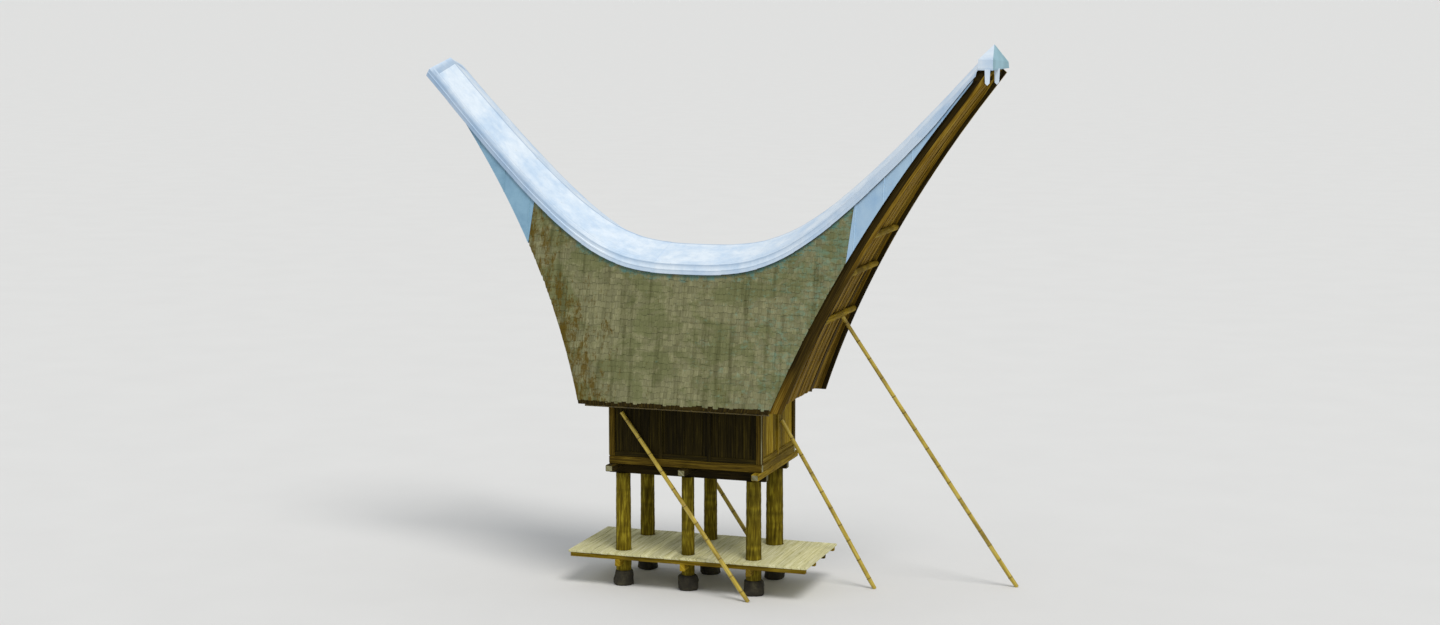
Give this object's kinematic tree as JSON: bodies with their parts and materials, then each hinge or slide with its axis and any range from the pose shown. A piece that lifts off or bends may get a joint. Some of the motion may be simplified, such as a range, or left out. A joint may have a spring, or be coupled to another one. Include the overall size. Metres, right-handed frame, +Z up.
{
  "type": "tongkonan rice barn",
  "caption": "Raised timber rice barn with a sitting platform between round posts, a board box body and a saddle roof with up-swept horns.",
  "frame": {"origin": "on the ground under the middle of the building", "axes": "+X along the ridge towards the right-hand gable, +Z up, -Y towards the near long side"},
  "size_m": [9.9884, 2.82, 9.229],
  "materials": {
    "stone": "rough field stone",
    "palm_wood": "weathered palm trunk",
    "dark_wood": "aged dark timber",
    "wall_wood": "aged boards",
    "golden_wood": "golden-brown boards",
    "bleached_wood": "sun-bleached boards",
    "shingle": "weathered shingles",
    "zinc": "folded zinc sheet",
    "bamboo": "dry bamboo"
  },
  "bodies": {
    "root": {"base_stone_near_left": "stone", "base_stone_near_middle": "stone", "base_stone_near_right": "stone", "base_stone_far_left": "stone", "base_stone_far_middle": "stone", "base_stone_far_right": "stone", "post_near_left": "palm_wood", "post_near_middle": "palm_wood", "post_near_right": "palm_wood", "post_far_left": "palm_wood", "post_far_middle": "palm_wood", "post_far_right": "palm_wood", "platform_frame": "dark_wood", "platform_deck": "bleached_wood", "near_post_beam": "dark_wood", "far_post_beam": "dark_wood", "floor_beam_left": "dark_wood", "floor_beam_middle": "dark_wood", "floor_beam_right": "golden_wood", "granary_floor": "wall_wood", "sill_frame": "dark_wood", "near_wall": "wall_wood", "far_wall": "wall_wood", "left_end_wall": "golden_wood", "right_end_wall": "golden_wood", "roof_plate_frame": "dark_wood", "ridge_beam": "dark_wood", "near_shingle_slope": "shingle", "near_left_horn_cladding": "zinc", "near_left_bargeboard": "dark_wood", "near_right_horn_cladding": "zinc", "near_right_bargeboard": "dark_wood", "far_shingle_slope": "shingle", "far_left_horn_cladding": "zinc", "far_left_bargeboard": "dark_wood", "far_right_horn_cladding": "zinc", "far_right_bargeboard": "dark_wood", "left_gable_panel": "golden_wood", "right_gable_panel": "golden_wood", "right_horn_hood": "zinc", "ridge_cap": "zinc", "prop_near_side": "bamboo", "prop_far_side": "bamboo", "prop_end_wall": "bamboo", "prop_gable": "bamboo"}
  },
  "joints": []
}
